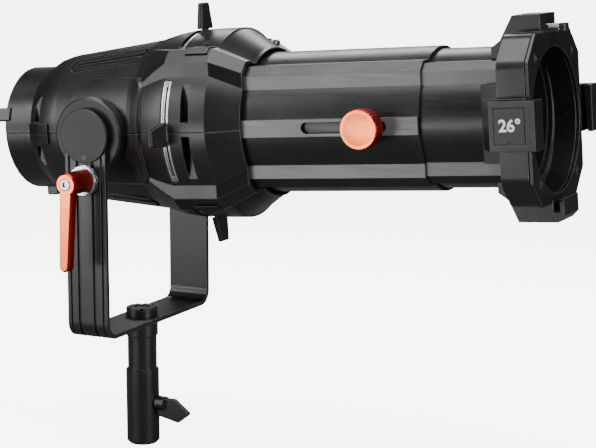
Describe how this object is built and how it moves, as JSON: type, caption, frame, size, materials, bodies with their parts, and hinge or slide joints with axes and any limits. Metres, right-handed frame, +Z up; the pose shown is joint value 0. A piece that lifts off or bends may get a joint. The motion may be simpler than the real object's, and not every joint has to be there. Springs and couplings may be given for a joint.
{
  "type": "ellipsoidal spotlight",
  "caption": "Ellipsoidal stage spotlight: ribbed lamp housing with framing shutters, sliding lens tube, gel-frame holder and a stirrup yoke on a stand socket.",
  "frame": {"origin": "centre of the mouth of the stand socket's bore, at the very bottom", "axes": "+Z up along the socket bore; +X towards the beam end; +Y away from the tilt clamp lever"},
  "size_m": [0.5267, 0.2281, 0.403],
  "materials": {
    "housing_black": "satin",
    "cover_black": "semi-gloss",
    "tube_grey": "satin",
    "barrel_grey": "satin",
    "holder_black": "satin",
    "yoke_black": "satin",
    "disc_black": "satin",
    "socket_grey": "satin",
    "red_anodised": "satin",
    "zinc": "satin",
    "screw_black": "satin",
    "shutter_steel": "satin",
    "grip_black": "matte",
    "tip_black": "matte",
    "cell_black": "matte",
    "lens_glass": "polished",
    "bush_bronze": "satin",
    "washer_grey": "matte",
    "wiper_rubber": "matte",
    "scale_label": "satin"
  },
  "bodies": {
    "yoke": {"yoke_bracket": "yoke_black", "stand_socket": "socket_grey", "socket_nut": "socket_grey", "pivot_caps": "disc_black", "cap_screws": "screw_black", "pivot_bolts": "zinc", "friction_washers": "washer_grey", "tilt_clamp_shoe": "zinc", "clamp_collar": "zinc", "clamp_stud": "zinc"},
    "clamp_lever": {"tilt_lever": "red_anodised", "lever_screw": "zinc"},
    "socket_screw": {"wing_screw": "socket_grey"},
    "head": {"upper_housing": "housing_black", "lower_housing": "housing_black", "bayonet_ring": "cell_black", "bayonet_lock": "zinc", "tilt_discs": "disc_black", "tilt_bushes": "bush_bronze", "top_cover": "cover_black", "bottom_cover": "cover_black", "cover_screws": "screw_black", "housing_screws": "zinc", "rear_condenser_lens": "lens_glass", "front_condenser_lens": "lens_glass", "condenser_cell": "cell_black", "condenser_rings": "cell_black", "rear_gate_plate": "shutter_steel", "front_gate_plate": "shutter_steel", "gate_spacers": "zinc", "blade_guides": "zinc", "lens_tube": "tube_grey", "tube_flange": "cell_black", "flange_screws": "zinc", "tube_wiper": "wiper_rubber", "tube_lock_screw": "screw_black"},
    "near_blade": {"near_shutter": "shutter_steel", "near_shutter_grip": "grip_black"},
    "far_blade": {"far_shutter": "shutter_steel", "far_shutter_grip": "grip_black"},
    "top_blade": {"top_shutter": "shutter_steel", "top_shutter_grip": "grip_black"},
    "bottom_blade": {"bottom_shutter": "shutter_steel", "bottom_shutter_grip": "grip_black"},
    "lens_carriage": {"lens_barrel": "barrel_grey", "accessory_holder": "holder_black", "holder_front_plate": "holder_black", "front_lens": "lens_glass", "rear_lens": "lens_glass", "lens_retaining_rings": "cell_black", "lens_ring_screws": "zinc", "scale_plate": "scale_label", "holder_screws": "screw_black", "focus_key": "zinc"},
    "focus_lock": {"focus_knob": "red_anodised"},
    "gel_latch": {"frame_latch": "zinc", "latch_tip": "tip_black"}
  },
  "joints": [
    {"name": "head_tilt", "type": "hinge", "parent": "yoke", "child": "head", "pos_m": [0, 0, 0.2926], "axis": [0, -1, 0], "range_deg": [-62, 86]},
    {"name": "clamp_lever_turn", "type": "hinge", "parent": "yoke", "child": "clamp_lever", "pos_m": [0, -0.109, 0.2546], "axis": [0, 1, 0], "range_deg": [-20, 100]},
    {"name": "socket_screw_turn", "type": "hinge", "parent": "yoke", "child": "socket_screw", "pos_m": [0.021, 0, 0.0385], "axis": [1, 0, 0], "range_deg": [-180, 180]},
    {"name": "near_shutter_slide", "type": "slide", "parent": "head", "child": "near_blade", "axis": [0, -1, 0], "range_m": [0, 0.035]},
    {"name": "far_shutter_slide", "type": "slide", "parent": "head", "child": "far_blade", "axis": [0, 1, 0], "range_m": [0, 0.035]},
    {"name": "top_shutter_slide", "type": "slide", "parent": "head", "child": "top_blade", "axis": [-0.071, 0, 0.9975], "range_m": [0, 0.035]},
    {"name": "bottom_shutter_slide", "type": "slide", "parent": "head", "child": "bottom_blade", "axis": [0.071, 0, -0.9975], "range_m": [0, 0.035]},
    {"name": "focus_slide", "type": "slide", "parent": "head", "child": "lens_carriage", "axis": [0.9975, 0, 0.071], "range_m": [-0.052, 0.006]},
    {"name": "focus_lock_turn", "type": "hinge", "parent": "lens_carriage", "child": "focus_lock", "pos_m": [0.25186, -0.074, 0.31052], "axis": [0, -1, 0], "range_deg": [-180, 180]},
    {"name": "gel_latch_slide", "type": "slide", "parent": "lens_carriage", "child": "gel_latch", "axis": [0.9975, 0, 0.071], "range_m": [-0.0155, 0], "stiffness_N_per_m": 300, "springref_m": 0.003}
  ]
}
